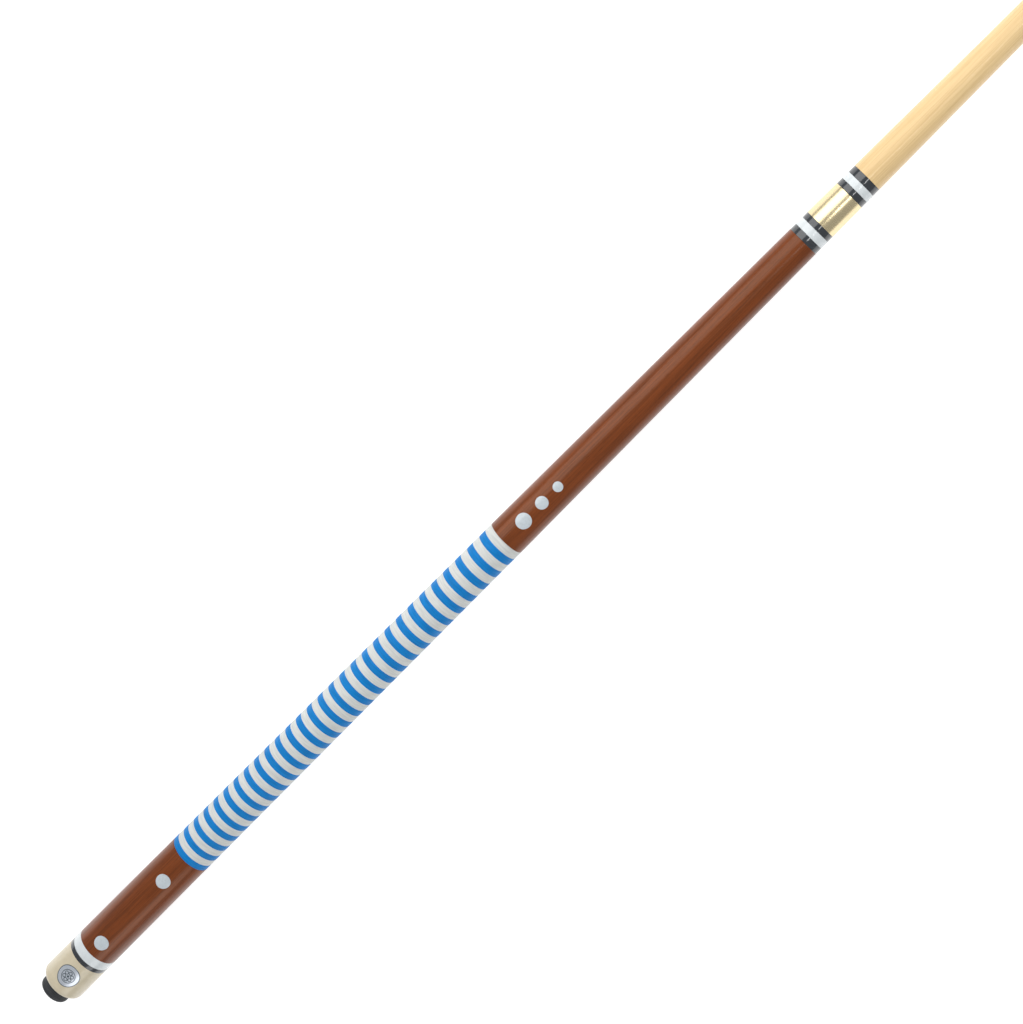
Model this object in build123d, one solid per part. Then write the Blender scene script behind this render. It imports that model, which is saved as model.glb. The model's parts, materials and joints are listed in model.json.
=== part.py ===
"""A two-piece pool cue, 58 inches long, lying along +X with its butt end at the origin.

The butt is a maple dowel that carries, from the rear, a cap, two trim rings, a wooden sleeve,
a linen wrap, a forearm, three trim rings and a brass collar.  The shaft screws on to the pin that
stands out of the butt's front face.  The bumper and the balance weight screw into a brass bush.
"""
from build123d import *
import math
import os

INCH = 25.4

# Lengths along the cue, from the foot of the bumper.
BUTT_LENGTH = 29 * INCH          # foot of the bumper to the joint face
SHAFT_LENGTH = 29 * INCH         # joint face to the top of the tip
BUMPER_LENGTH = 8.5
WASHER_LENGTH = 0.5
CAP_END = 38.2
CAP_BLACK_END = 41.5
CAP_WHITE_END = 48.5
SLEEVE_END = 143.8
WRAP_END = 445.8
FOREARM_END = 699.5
REAR_BLACK_END = 703.9
COLLAR_WHITE_END = 709.2
FRONT_BLACK_END = 713.3
SHAFT_BLACK_WIDTH = 4.2          # trim ring at the shaft's joint face
SHAFT_WHITE_WIDTH = 5.0
SHAFT_INNER_BLACK_WIDTH = 4.9
PRO_TAPER_START = 355.0          # from the joint face: the shaft is straight from here to the tip
FERRULE_LENGTH = 1 * INCH
TIP_PAD_LENGTH = 1.0
TIP_LENGTH = 6.5

# Outside diameters at the stations where the taper changes.
BUTT_END_DIAMETER = 31.1
WRAP_FRONT_DIAMETER = 25.5
JOINT_DIAMETER = 20.5
TIP_DIAMETER = 13.0

# The rear end.
CAP_CORNER_RADIUS = 4.0
BUMPER_DIAMETER = 21.5
BUMPER_CORNER_RADIUS = 2.4
WASHER_DIAMETER = 23.0
TENON_DIAMETER = 22.0            # rear tenon of the handle core
BUSH_DIAMETER = 17.0
BUSH_LENGTH = 60.0
WEIGHT_BORE_LENGTH = 75.0        # drilled behind the bush for the balance weight's travel
STUD_HEAD_DIAMETER = 16.0
STUD_HEAD_LENGTH = 2.6
STUD_HEAD_START = 3.0
STUD_NECK_LENGTH = 1.0           # plain neck in front of the cap's rear face
STUD_UNDERCUT = 0.3
STUD_END = 21.7
WEIGHT_START = 27.0
WEIGHT_LENGTH = 34.0
WEIGHT_SOCKET_FLATS = 6.0
WEIGHT_SOCKET_DEPTH = 8.0
WEIGHT_ROOM = 0.3                # radial room round the weight in front of the bush

# Inlays.
MEDALLION_DIAMETER = 16.3
MEDALLION_STATION = 25.2
MEDALLION_DEPTH = 1.6
DOT_DEPTH = 1.5
DOT_ROWS = 3                     # rows of dots, evenly spaced round the cue
SLEEVE_DOT_DIAMETER = 10.2
SLEEVE_DOT_STATIONS = (59.7, 122.8)
FOREARM_DOTS = {"large": (463.8, 10.4), "medium": (479.9, 8.4), "small": (494.0, 6.6)}

# The wrap.
WRAP_THICKNESS = 1.0
BAND_PAIRS = 29
BLUE_SHARE = 0.48                # blue part of each pair of bands

# The joints inside.
FRONT_TENON_DIAMETER = 14.0      # forearm's and shaft's tenons under the joint rings
FACE_GAP = 0.05                  # hairline between the two joint faces
RUNNING_GAP = 0.05               # radial room between pieces that turn on each other
GLUE_GAP = 0.05                  # radial room for glue
PIN_SHANK_DIAMETER = 9.5
PIN_SHANK_LENGTH = 40.0
PIN_STICK_OUT = 28.0
PIN_NOSE = 1.2
PIN_BACK_GAP = 0.5               # room behind the pin's shank in its bore
PIN_COLLAR_LENGTH = 1.7          # plain collar where the thread leaves the shank
PIN_COLLAR_RECESS = 0.3          # collar's face below the joint face
SCREW_CHAMFER = 1.0
INSERT_DIAMETER = 11.0
INSERT_LENGTH = 35.0
INSERT_BORE_DEPTH = 36.0
A_STUD_DIAMETER = 9.5
A_STUD_HALF_LENGTH = 32.0
A_STUD_BORE_HALF_LENGTH = 34.0
GLUE_GROOVE_DEPTH = 0.5
GLUE_GROOVE_WIDTH = 1.2
GLUE_GROOVE_PITCH = 5.0
FERRULE_DIAMETER = 12.9
FERRULE_TENON_DIAMETER = 8.0
FERRULE_TENON_LENGTH = 18.0
FERRULE_BORE_DEPTH = 19.0
TIP_DOME_RADIUS = 10.6           # curve of a small coin

# Screw threads: nominal radius and pitch of an inch series thread.
JOINT_THREAD = (5 / 16 * INCH / 2, INCH / 18)
BUTT_THREAD = (1 / 2 * INCH / 2, INCH / 13)
THREAD_DEPTH = 0.6134            # depth of a screw's thread, in pitches
CREST_PLAY = 0.07                # a screw's crests stay this far under the nominal radius
ROOT_PLAY = 0.10
THREAD_FLANK_ANGLE = 30.0        # of each flank to a plane across the axis
CREST_SHARE = 1 / 8              # flat of each crest, in pitches
OVERLAP = 1.0                    # how far joined rods run into each other

# Places that follow from the sizes above.
CAP_START = BUMPER_LENGTH + WASHER_LENGTH
JOINT_FACE = BUTT_LENGTH
SHAFT_FACE = JOINT_FACE + FACE_GAP
SHAFT_RING_END = JOINT_FACE + SHAFT_BLACK_WIDTH
SHAFT_WHITE_END = SHAFT_RING_END + SHAFT_WHITE_WIDTH
SHAFT_TRIM_END = SHAFT_WHITE_END + SHAFT_INNER_BLACK_WIDTH
CUE_LENGTH = BUTT_LENGTH + SHAFT_LENGTH
TIP_START = CUE_LENGTH - TIP_LENGTH
PAD_START = TIP_START - TIP_PAD_LENGTH
FERRULE_START = PAD_START - FERRULE_LENGTH
STRAIGHT_START = JOINT_FACE + PRO_TAPER_START
TENON_RADIUS = TENON_DIAMETER / 2
FRONT_TENON_RADIUS = FRONT_TENON_DIAMETER / 2

TAPER = (
    (0.0, BUTT_END_DIAMETER / 2),
    (WRAP_END, WRAP_FRONT_DIAMETER / 2),
    (JOINT_FACE, JOINT_DIAMETER / 2),
    (STRAIGHT_START, TIP_DIAMETER / 2),
    (CUE_LENGTH, TIP_DIAMETER / 2),
)


def outer_radius(x):
    """The cue's outside radius at a station, along straight tapers."""
    for (x0, r0), (x1, r1) in zip(TAPER, TAPER[1:]):
        if x <= x1:
            return r0 + (r1 - r0) * (x - x0) / (x1 - x0)
    return TAPER[-1][1]


def turned(*corners):
    """A solid of revolution about the cue's axis from (station, radius) corners."""
    outline = Polyline(*[(x, 0, r) for x, r in corners], close=True)
    return revolve(make_face(outline), Axis.X)


def rod(start, end, radius):
    """A plain round rod along the cue's axis."""
    place = Location((start, 0, 0), (0, 90, 0))
    return place * Cylinder(radius, end - start, align=(Align.CENTER, Align.CENTER, Align.MIN))


def tube(start, end, bore_radius):
    """A length of the cue's outside with a bore through it."""
    return turned(
        (start, bore_radius),
        (end, bore_radius),
        (end, outer_radius(end)),
        (start, outer_radius(start)),
    )


def edges_at(shape, station, radius):
    """The circular edges of a turned solid at a station and radius."""
    return [
        e for e in shape.edges().filter_by(GeomType.CIRCLE)
        if abs(e.arc_center.X - station) < 0.01 and abs(e.radius - radius) < 0.01
    ]


def glue_grooved(start, end, radius):
    """A rod with shallow grooves that hold glue."""
    body = rod(start, end, radius)
    grooves = int((end - start) / GLUE_GROOVE_PITCH) - 1
    for i in range(grooves):
        x = start + GLUE_GROOVE_PITCH * (i + 1)
        body -= turned(
            (x, radius - GLUE_GROOVE_DEPTH),
            (x + GLUE_GROOVE_WIDTH, radius - GLUE_GROOVE_DEPTH),
            (x + GLUE_GROOVE_WIDTH, radius + 1),
            (x, radius + 1),
        )
    return body


def screw(thread, start, end, nose):
    """A screw's rod, its thread drawn as ridges square to the axis with the true pitch and depth."""
    nominal, pitch = thread
    crest = nominal - CREST_PLAY
    root = nominal - THREAD_DEPTH * pitch - ROOT_PLAY
    flank = (crest - root) * math.tan(math.radians(THREAD_FLANK_ANGLE))
    half_crest = pitch * CREST_SHARE / 2
    corners = [(start, 0), (start, root)]
    for ridge in range(int((end - start - nose) / pitch)):
        middle = start + pitch * (ridge + 0.5)
        corners += [
            (middle - half_crest - flank, root),
            (middle - half_crest, crest),
            (middle + half_crest, crest),
            (middle + half_crest + flank, root),
        ]
    corners += [(end - nose / 2, root), (end, root - nose / 2), (end, 0)]
    return turned(*corners)


def around(shape, count):
    """Copies of a shape, evenly spaced round the cue's axis."""
    return [Rotation(360 / count * i, 0, 0) * shape for i in range(count)]


def inlay_cutters(station, diameter, depth, count):
    """Round cutters that stand on the cue's surface, each depth deep at its middle."""
    floor = outer_radius(station) - depth
    cutter = Location((station, 0, floor)) * Cylinder(
        diameter / 2, depth + 2, align=(Align.CENTER, Align.CENTER, Align.MIN))
    return around(cutter, count)


def cut_inlays(carrier, cutters):
    """The carrier with pockets cut in it, and the flush inlays that fill them."""
    inlays = [carrier & cutter for cutter in cutters]
    for cutter in cutters:
        carrier -= cutter
    return carrier, inlays


def wrap_station(share):
    """The station that leaves this share of the wrap's surface behind it.

    Every band takes the same length of thread, so bands grow as the handle gets thinner.
    """
    r0 = outer_radius(SLEEVE_END)
    r1 = outer_radius(WRAP_END)
    radius = math.sqrt(r0 ** 2 + (r1 ** 2 - r0 ** 2) * share)
    return SLEEVE_END + (WRAP_END - SLEEVE_END) * (radius - r0) / (r1 - r0)


def wrap_bands():
    """The blue and the white bands of the wrap, blue first."""
    blue = []
    white = []
    for pair in range(BAND_PAIRS):
        start = wrap_station(pair / BAND_PAIRS)
        middle = wrap_station((pair + BLUE_SHARE) / BAND_PAIRS)
        end = wrap_station((pair + 1) / BAND_PAIRS)
        for bands, x0, x1 in ((blue, start, middle), (white, middle, end)):
            bands.append(turned(
                (x0, outer_radius(x0) - WRAP_THICKNESS),
                (x1, outer_radius(x1) - WRAP_THICKNESS),
                (x1, outer_radius(x1)),
                (x0, outer_radius(x0)),
            ))
    return blue, white


def make_bumper():
    """The rubber bumper, moulded round the head of its stud."""
    body = rod(0, BUMPER_LENGTH, BUMPER_DIAMETER / 2)
    body = fillet(edges_at(body, 0, BUMPER_DIAMETER / 2), BUMPER_CORNER_RADIUS)
    head_end = STUD_HEAD_START + STUD_HEAD_LENGTH
    body -= rod(STUD_HEAD_START, head_end, STUD_HEAD_DIAMETER / 2)
    return body - rod(head_end, BUMPER_LENGTH, BUTT_THREAD[0])


def make_bumper_stud():
    """The bumper's steel stud: a flat head, a collar, an undercut neck and a thread."""
    head_end = STUD_HEAD_START + STUD_HEAD_LENGTH
    neck_radius = BUTT_THREAD[0] - THREAD_DEPTH * BUTT_THREAD[1] - ROOT_PLAY - STUD_UNDERCUT
    thread_start = CAP_START + STUD_NECK_LENGTH
    thread = screw(BUTT_THREAD, thread_start, STUD_END, SCREW_CHAMFER)
    neck = rod(head_end, thread_start + OVERLAP, neck_radius)
    collar = rod(head_end, BUMPER_LENGTH, BUTT_THREAD[0])
    head = rod(STUD_HEAD_START, head_end, STUD_HEAD_DIAMETER / 2)
    return thread + neck + collar + head


def make_weight():
    """The balance weight: a grub screw with a hexagon socket in its rear end."""
    bolt = rod(WEIGHT_START, WEIGHT_START + WEIGHT_LENGTH, BUTT_THREAD[0] - CREST_PLAY)
    bolt = chamfer(bolt.edges().filter_by(GeomType.CIRCLE), SCREW_CHAMFER)
    socket = extrude(Plane.YZ.offset(WEIGHT_START) * RegularPolygon(
        WEIGHT_SOCKET_FLATS / 2, 6, major_radius=False), WEIGHT_SOCKET_DEPTH)
    return bolt - socket


def make_butt_cap():
    """The cap with its rounded rear edge."""
    cap = tube(CAP_START, CAP_END, TENON_RADIUS + GLUE_GAP)
    return fillet(edges_at(cap, CAP_START, outer_radius(CAP_START)), CAP_CORNER_RADIUS)


def make_handle_core():
    """The dowel under the wrap, with its rear tenon, the bush's seat and the stud's socket."""
    under = WRAP_THICKNESS
    core = turned(
        (CAP_START, 0),
        (WRAP_END, 0),
        (WRAP_END, outer_radius(WRAP_END) - under),
        (SLEEVE_END, outer_radius(SLEEVE_END) - under),
        (SLEEVE_END, TENON_RADIUS),
        (CAP_START, TENON_RADIUS),
    )
    core -= rod(CAP_START, CAP_START + BUSH_LENGTH, BUSH_DIAMETER / 2 + GLUE_GAP)
    core -= rod(CAP_START, CAP_START + WEIGHT_BORE_LENGTH, BUTT_THREAD[0] + WEIGHT_ROOM)
    return core - rod(WRAP_END - A_STUD_BORE_HALF_LENGTH, WRAP_END, A_STUD_DIAMETER / 2 + GLUE_GAP)


def make_butt_bush():
    """The bush of the butt end."""
    end = CAP_START + BUSH_LENGTH
    return rod(CAP_START, end, BUSH_DIAMETER / 2) - rod(CAP_START, end, BUTT_THREAD[0])


def make_forearm():
    """The tapered forearm, with the tenon that carries the rings and the collar."""
    arm = turned(
        (WRAP_END, 0),
        (JOINT_FACE, 0),
        (JOINT_FACE, FRONT_TENON_RADIUS),
        (FOREARM_END, FRONT_TENON_RADIUS),
        (FOREARM_END, outer_radius(FOREARM_END)),
        (WRAP_END, outer_radius(WRAP_END)),
    )
    arm -= rod(WRAP_END, WRAP_END + A_STUD_BORE_HALF_LENGTH, A_STUD_DIAMETER / 2 + GLUE_GAP)
    return arm - rod(JOINT_FACE - PIN_SHANK_LENGTH, JOINT_FACE, PIN_SHANK_DIAMETER / 2 + GLUE_GAP)


def make_joint_pin():
    """The pin: a grooved shank glued in the forearm, and the thread that the shaft screws on to."""
    collar_end = JOINT_FACE - PIN_COLLAR_RECESS
    collar_start = collar_end - PIN_COLLAR_LENGTH
    shank_start = JOINT_FACE - PIN_SHANK_LENGTH + PIN_BACK_GAP
    shank = glue_grooved(shank_start, collar_start + OVERLAP, PIN_SHANK_DIAMETER / 2)
    collar = rod(collar_start, collar_end, PIN_SHANK_DIAMETER / 2)
    thread = screw(JOINT_THREAD, collar_end - OVERLAP, JOINT_FACE + PIN_STICK_OUT, PIN_NOSE)
    return thread + shank + collar


def make_shaft():
    """The maple shaft: a tapered length, a straight length, a tenon at each end and a bore."""
    front_tenon = FERRULE_TENON_DIAMETER / 2
    shaft = turned(
        (SHAFT_FACE, 0),
        (FERRULE_START + FERRULE_TENON_LENGTH, 0),
        (FERRULE_START + FERRULE_TENON_LENGTH, front_tenon),
        (FERRULE_START, front_tenon),
        (FERRULE_START, TIP_DIAMETER / 2),
        (STRAIGHT_START, TIP_DIAMETER / 2),
        (SHAFT_TRIM_END, outer_radius(SHAFT_TRIM_END)),
        (SHAFT_TRIM_END, FRONT_TENON_RADIUS),
        (SHAFT_FACE, FRONT_TENON_RADIUS),
    )
    return shaft - rod(SHAFT_FACE, SHAFT_FACE + INSERT_BORE_DEPTH, INSERT_DIAMETER / 2 + GLUE_GAP)


def make_shaft_insert():
    """The insert in the shaft's rear end."""
    end = SHAFT_FACE + INSERT_LENGTH
    blank = glue_grooved(SHAFT_FACE, end, INSERT_DIAMETER / 2)
    return blank - rod(SHAFT_FACE, end, JOINT_THREAD[0])


def make_ferrule():
    """The capped ferrule on the shaft's front tenon."""
    body = rod(FERRULE_START, PAD_START, FERRULE_DIAMETER / 2)
    bore = FERRULE_TENON_DIAMETER / 2 + GLUE_GAP
    return body - rod(FERRULE_START, FERRULE_START + FERRULE_BORE_DEPTH, bore)


def make_tip():
    """The leather tip: a short cylinder, domed on top."""
    radius = FERRULE_DIAMETER / 2
    rise = TIP_DOME_RADIUS - math.sqrt(TIP_DOME_RADIUS ** 2 - radius ** 2)
    shoulder = (CUE_LENGTH - rise, 0, radius)
    crown = (CUE_LENGTH, 0, 0)
    half = math.asin(radius / TIP_DOME_RADIUS) / 2
    on_dome = (CUE_LENGTH - TIP_DOME_RADIUS * (1 - math.cos(half)), 0, TIP_DOME_RADIUS * math.sin(half))
    outline = [
        Line((TIP_START, 0, 0), (TIP_START, 0, radius)),
        Line((TIP_START, 0, radius), shoulder),
        ThreePointArc(shoulder, on_dome, crown),
        Line(crown, (TIP_START, 0, 0)),
    ]
    return revolve(make_face(outline), Axis.X)


def make_parts():
    """Every node of the cue, by name."""
    parts = {}
    parts["bumper"] = make_bumper()
    parts["bumper_stud"] = make_bumper_stud()
    parts["bumper_washer"] = (
        rod(BUMPER_LENGTH, CAP_START, WASHER_DIAMETER / 2)
        - rod(BUMPER_LENGTH, CAP_START, BUTT_THREAD[0] + RUNNING_GAP)
    )
    parts["weight_bolt"] = make_weight()

    cap_cutters = inlay_cutters(MEDALLION_STATION, MEDALLION_DIAMETER, MEDALLION_DEPTH, 1)
    parts["butt_cap"], medallion = cut_inlays(make_butt_cap(), cap_cutters)
    parts["cap_medallion"] = medallion[0]
    bore = TENON_RADIUS + GLUE_GAP
    parts["cap_ring_black"] = tube(CAP_END, CAP_BLACK_END, bore)
    parts["cap_ring_white"] = tube(CAP_BLACK_END, CAP_WHITE_END, bore)
    sleeve_cutters = []
    for station in SLEEVE_DOT_STATIONS:
        sleeve_cutters += inlay_cutters(station, SLEEVE_DOT_DIAMETER, DOT_DEPTH, DOT_ROWS)
    sleeve = tube(CAP_WHITE_END, SLEEVE_END, bore)
    parts["butt_sleeve"], dots = cut_inlays(sleeve, sleeve_cutters)
    parts["sleeve_dots"] = Compound(children=dots)
    parts["butt_bush"] = make_butt_bush()
    parts["handle_core"] = make_handle_core()

    blue, white = wrap_bands()
    parts["wrap_blue_bands"] = Compound(children=blue)
    parts["wrap_white_bands"] = Compound(children=white)

    parts["a_joint_stud"] = glue_grooved(
        WRAP_END - A_STUD_HALF_LENGTH, WRAP_END + A_STUD_HALF_LENGTH, A_STUD_DIAMETER / 2)
    forearm = make_forearm()
    for size, (station, diameter) in FOREARM_DOTS.items():
        cutters = inlay_cutters(station, diameter, DOT_DEPTH, DOT_ROWS)
        forearm, dots = cut_inlays(forearm, cutters)
        parts["forearm_dots_" + size] = Compound(children=dots)
    parts["forearm"] = forearm

    bore = FRONT_TENON_RADIUS + GLUE_GAP
    parts["collar_ring_black_rear"] = tube(FOREARM_END, REAR_BLACK_END, bore)
    parts["collar_ring_white"] = tube(REAR_BLACK_END, COLLAR_WHITE_END, bore)
    parts["collar_ring_black_front"] = tube(COLLAR_WHITE_END, FRONT_BLACK_END, bore)
    parts["joint_collar"] = tube(FRONT_BLACK_END, JOINT_FACE, bore)
    parts["joint_pin"] = make_joint_pin()

    ring_end = SHAFT_RING_END - FACE_GAP
    parts["shaft_ring_joint"] = tube(SHAFT_FACE, ring_end, FRONT_TENON_RADIUS + RUNNING_GAP)
    parts["shaft_ring_white"] = tube(SHAFT_RING_END, SHAFT_WHITE_END, bore)
    parts["shaft_ring_black"] = tube(SHAFT_WHITE_END, SHAFT_TRIM_END, bore)
    parts["shaft_insert"] = make_shaft_insert()
    parts["shaft"] = make_shaft()
    parts["ferrule"] = make_ferrule()
    parts["tip_pad"] = rod(PAD_START, TIP_START, FERRULE_DIAMETER / 2)
    parts["tip"] = make_tip()
    return parts


os.makedirs("parts", exist_ok=True)
for name, shape in make_parts().items():
    export_step(shape, "parts/" + name + ".step")
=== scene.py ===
"""A two-piece pool cue dressed for a studio picture: turned woods, wound linen, resin rings and brass."""

import json
import math

import bpy
from bpy.props import FloatProperty, FloatVectorProperty, IntProperty, PointerProperty
from mathutils import Matrix, Vector


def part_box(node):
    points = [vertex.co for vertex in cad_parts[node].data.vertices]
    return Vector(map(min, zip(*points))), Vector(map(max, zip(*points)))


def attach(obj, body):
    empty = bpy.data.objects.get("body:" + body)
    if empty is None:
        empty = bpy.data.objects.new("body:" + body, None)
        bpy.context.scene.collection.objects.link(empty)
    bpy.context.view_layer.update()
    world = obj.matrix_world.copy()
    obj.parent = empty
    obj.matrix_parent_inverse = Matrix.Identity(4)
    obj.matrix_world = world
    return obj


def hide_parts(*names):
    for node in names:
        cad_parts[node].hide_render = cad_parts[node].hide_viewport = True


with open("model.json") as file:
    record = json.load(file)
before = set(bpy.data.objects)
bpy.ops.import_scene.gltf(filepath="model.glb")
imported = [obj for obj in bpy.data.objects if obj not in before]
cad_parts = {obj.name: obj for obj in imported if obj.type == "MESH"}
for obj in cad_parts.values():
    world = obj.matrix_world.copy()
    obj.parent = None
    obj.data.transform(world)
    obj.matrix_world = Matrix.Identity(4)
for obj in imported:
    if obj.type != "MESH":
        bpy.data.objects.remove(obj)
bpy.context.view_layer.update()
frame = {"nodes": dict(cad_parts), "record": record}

bl_info = {
    "name": "Pool Cue Maker",
    "version": (1, 0, 0),
    "blender": (4, 5, 0),
    "location": "3D View > Sidebar > Cue",
    "description": "Turns, winds, inlays and lights a two-piece pool cue on its CAD frame",
    "category": "Object",
}

MM = 0.001
ON_AXIS = 1e-9
FINISH_SUFFIX = "_finish"
INLAY_BEVEL = 0.00003
CAP_CORNER = 0.004

# Radii that the CAD model gives to hidden joints, which the turned pieces share.
REAR_BORE = 0.01105
FRONT_BORE = 0.00705
FRONT_TENON = 0.007
PIN_BORE = 0.0048
INSERT_BORE = 0.00555
FERRULE_TENON = 0.004
STUD_BORE = 0.0064

SLOTS = {part["node"]: part["material_slot"] for part in frame["record"]["subparts"]}


# ---------------------------------------------------------------- sizes read from the frame

def span(node):
    """First and last station of a CAD node along the cue, in metres."""
    low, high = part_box(node)
    return low.x, high.x


def node_radius(node):
    """Largest radius of a CAD node that stands all round the cue's axis."""
    low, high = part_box(node)
    return max(-low.y, -low.z, high.y, high.z)


CAP_START, CAP_END = span("butt_cap")
CAP_RADIUS = node_radius("butt_cap")
SLEEVE_START, SLEEVE_END = span("butt_sleeve")
WRAP_START = span("wrap_blue_bands")[0]
WRAP_END = span("wrap_white_bands")[1]
FOREARM_FRONT = span("collar_ring_black_rear")[0]
JOINT_FACE = span("joint_collar")[1]
SHAFT_BACK = span("shaft_ring_black")[1]
FERRULE_START, FERRULE_END = span("ferrule")
TIP_RADIUS = node_radius("ferrule")
CUE_END = span("tip")[1]
STRAIGHT_RADIUS = 0.0065
STRAIGHT_START = JOINT_FACE + 0.355
TAPER = (
    (SLEEVE_START, node_radius("butt_sleeve")),
    (WRAP_END, node_radius("forearm")),
    (FOREARM_FRONT, node_radius("collar_ring_black_rear")),
    (SHAFT_BACK, node_radius("shaft")),
    (STRAIGHT_START, STRAIGHT_RADIUS),
    (CUE_END, STRAIGHT_RADIUS),
)


def outer_radius(x):
    """The cue's outside radius at a station, along its straight tapers."""
    x0, r0 = TAPER[0]
    for x1, r1 in TAPER[1:]:
        if x <= x1:
            break
        x0, r0 = x1, r1
    return r0 + (r1 - r0) * (x - x0) / (x1 - x0)


# ---------------------------------------------------------------- settings

class CueSizes(bpy.types.PropertyGroup):
    """Sizes of the fine work that the CAD model leaves out."""

    segments: IntProperty(
        name="Segments", description="Flats round a turned piece", default=144, min=24, max=360)
    edge_round: FloatProperty(
        name="Edge Round", description="Rounding of each ring's edges",
        default=0.00012, min=0.0, max=0.001, subtype="DISTANCE", unit="LENGTH")
    thread_pitch: FloatProperty(
        name="Linen Pitch", description="Distance between turns of the linen thread",
        default=0.0007, min=0.0003, max=0.002, subtype="DISTANCE", unit="LENGTH")
    thread_relief: FloatProperty(
        name="Linen Relief", description="How deep the valleys between turns are",
        default=0.00010, min=0.0, max=0.0005, subtype="DISTANCE", unit="LENGTH")
    band_crown: FloatProperty(
        name="Band Crown", description="How far a band rises between its edges",
        default=0.00012, min=0.0, max=0.0005, subtype="DISTANCE", unit="LENGTH")
    inlay_proud: FloatProperty(
        name="Inlay Height", description="How far an inlay stands above the wood",
        default=0.00003, min=0.0, max=0.0003, subtype="DISTANCE", unit="LENGTH")


class CueColours(bpy.types.PropertyGroup):
    """Colours of the cue's finishes, in linear light."""

    blue: FloatVectorProperty(
        name="Blue Linen", description="Colour of the blue bands",
        default=(0.0, 0.230, 0.640), min=0.0, max=1.0, subtype="COLOR")
    white: FloatVectorProperty(
        name="White Linen", description="Colour of the white bands",
        default=(0.72, 0.73, 0.70), min=0.0, max=1.0, subtype="COLOR")
    stain: FloatVectorProperty(
        name="Wood Stain", description="Colour of the stained wood between its streaks",
        default=(0.165, 0.037, 0.007), min=0.0, max=1.0, subtype="COLOR")
    cream: FloatVectorProperty(
        name="Cream Resin", description="Colour of the butt cap",
        default=(0.68, 0.59, 0.42), min=0.0, max=1.0, subtype="COLOR")
    maple: FloatVectorProperty(
        name="Maple", description="Colour of the shaft's wood",
        default=(0.90, 0.66, 0.34), min=0.0, max=1.0, subtype="COLOR")
    brass: FloatVectorProperty(
        name="Brass", description="Colour of the joint collar",
        default=(0.86, 0.72, 0.44), min=0.0, max=1.0, subtype="COLOR")
    pearl: FloatVectorProperty(
        name="Pearl", description="Colour of the dots",
        default=(0.60, 0.66, 0.69), min=0.0, max=1.0, subtype="COLOR")


# ---------------------------------------------------------------- mesh tools

def new_piece(name, vertices, faces, smooth_angle=40):
    """A mesh object with outward normals, smooth but for its sharp edges."""
    mesh = bpy.data.meshes.new(name)
    mesh.from_pydata(vertices, [], faces)
    mesh.validate()
    mesh.shade_smooth()
    mesh.set_sharp_from_angle(angle=math.radians(smooth_angle))
    piece = bpy.data.objects.new(name, mesh)
    bpy.context.scene.collection.objects.link(piece)
    return piece


def ring_of_points(x, radius, segments):
    """Points round the cue's axis at one station."""
    turn = [2 * math.pi * i / segments for i in range(segments)]
    return [(x, radius * math.sin(a), radius * math.cos(a)) for a in turn]


def turned_shell(outline, segments):
    """Vertices and faces of a solid of revolution.

    The outline's (station, radius) corners go round the section, and it is closed from the last to
    the first.  A corner on the axis becomes one vertex.
    """
    vertices, rows = [], []
    for x, radius in outline:
        start = len(vertices)
        if radius < ON_AXIS:
            vertices.append((x, 0.0, 0.0))
            rows.append([start])
        else:
            vertices += ring_of_points(x, radius, segments)
            rows.append(list(range(start, start + segments)))
    faces = []
    for a, b in zip(rows, rows[1:] + rows[:1]):
        if len(a) == len(b) == 1:
            continue
        for i in range(segments):
            j = (i + 1) % segments
            if len(a) == 1:
                faces.append((a[0], b[j], b[i]))
            elif len(b) == 1:
                faces.append((a[i], a[j], b[0]))
            else:
                faces.append((a[i], a[j], b[j], b[i]))
    return vertices, faces


def turn_piece(name, outline, segments, smooth_angle=40):
    """A closed turned piece from its outline."""
    return new_piece(name, *turned_shell(outline, segments), smooth_angle)


def rounded(corners, radius, steps=3):
    """A section's corners with each one rounded off by a short arc."""
    points = []
    count = len(corners)
    for i, corner in enumerate(corners):
        here = Vector(corner)
        before = Vector(corners[i - 1]) - here
        after = Vector(corners[(i + 1) % count]) - here
        reach = min(radius, before.length / 3, after.length / 3)
        start = here + before.normalized() * reach
        end = here + after.normalized() * reach
        for step in range(steps + 1):
            t = step / steps
            points.append(tuple(start * (1 - t) ** 2 + here * 2 * t * (1 - t) + end * t ** 2))
    return points


def ring_outline(start, end, bore, edge):
    """The rounded section of a ring whose outside follows the cue's taper."""
    return rounded([
        (start, bore),
        (end, bore),
        (end, outer_radius(end)),
        (start, outer_radius(start)),
    ], edge)


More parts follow.
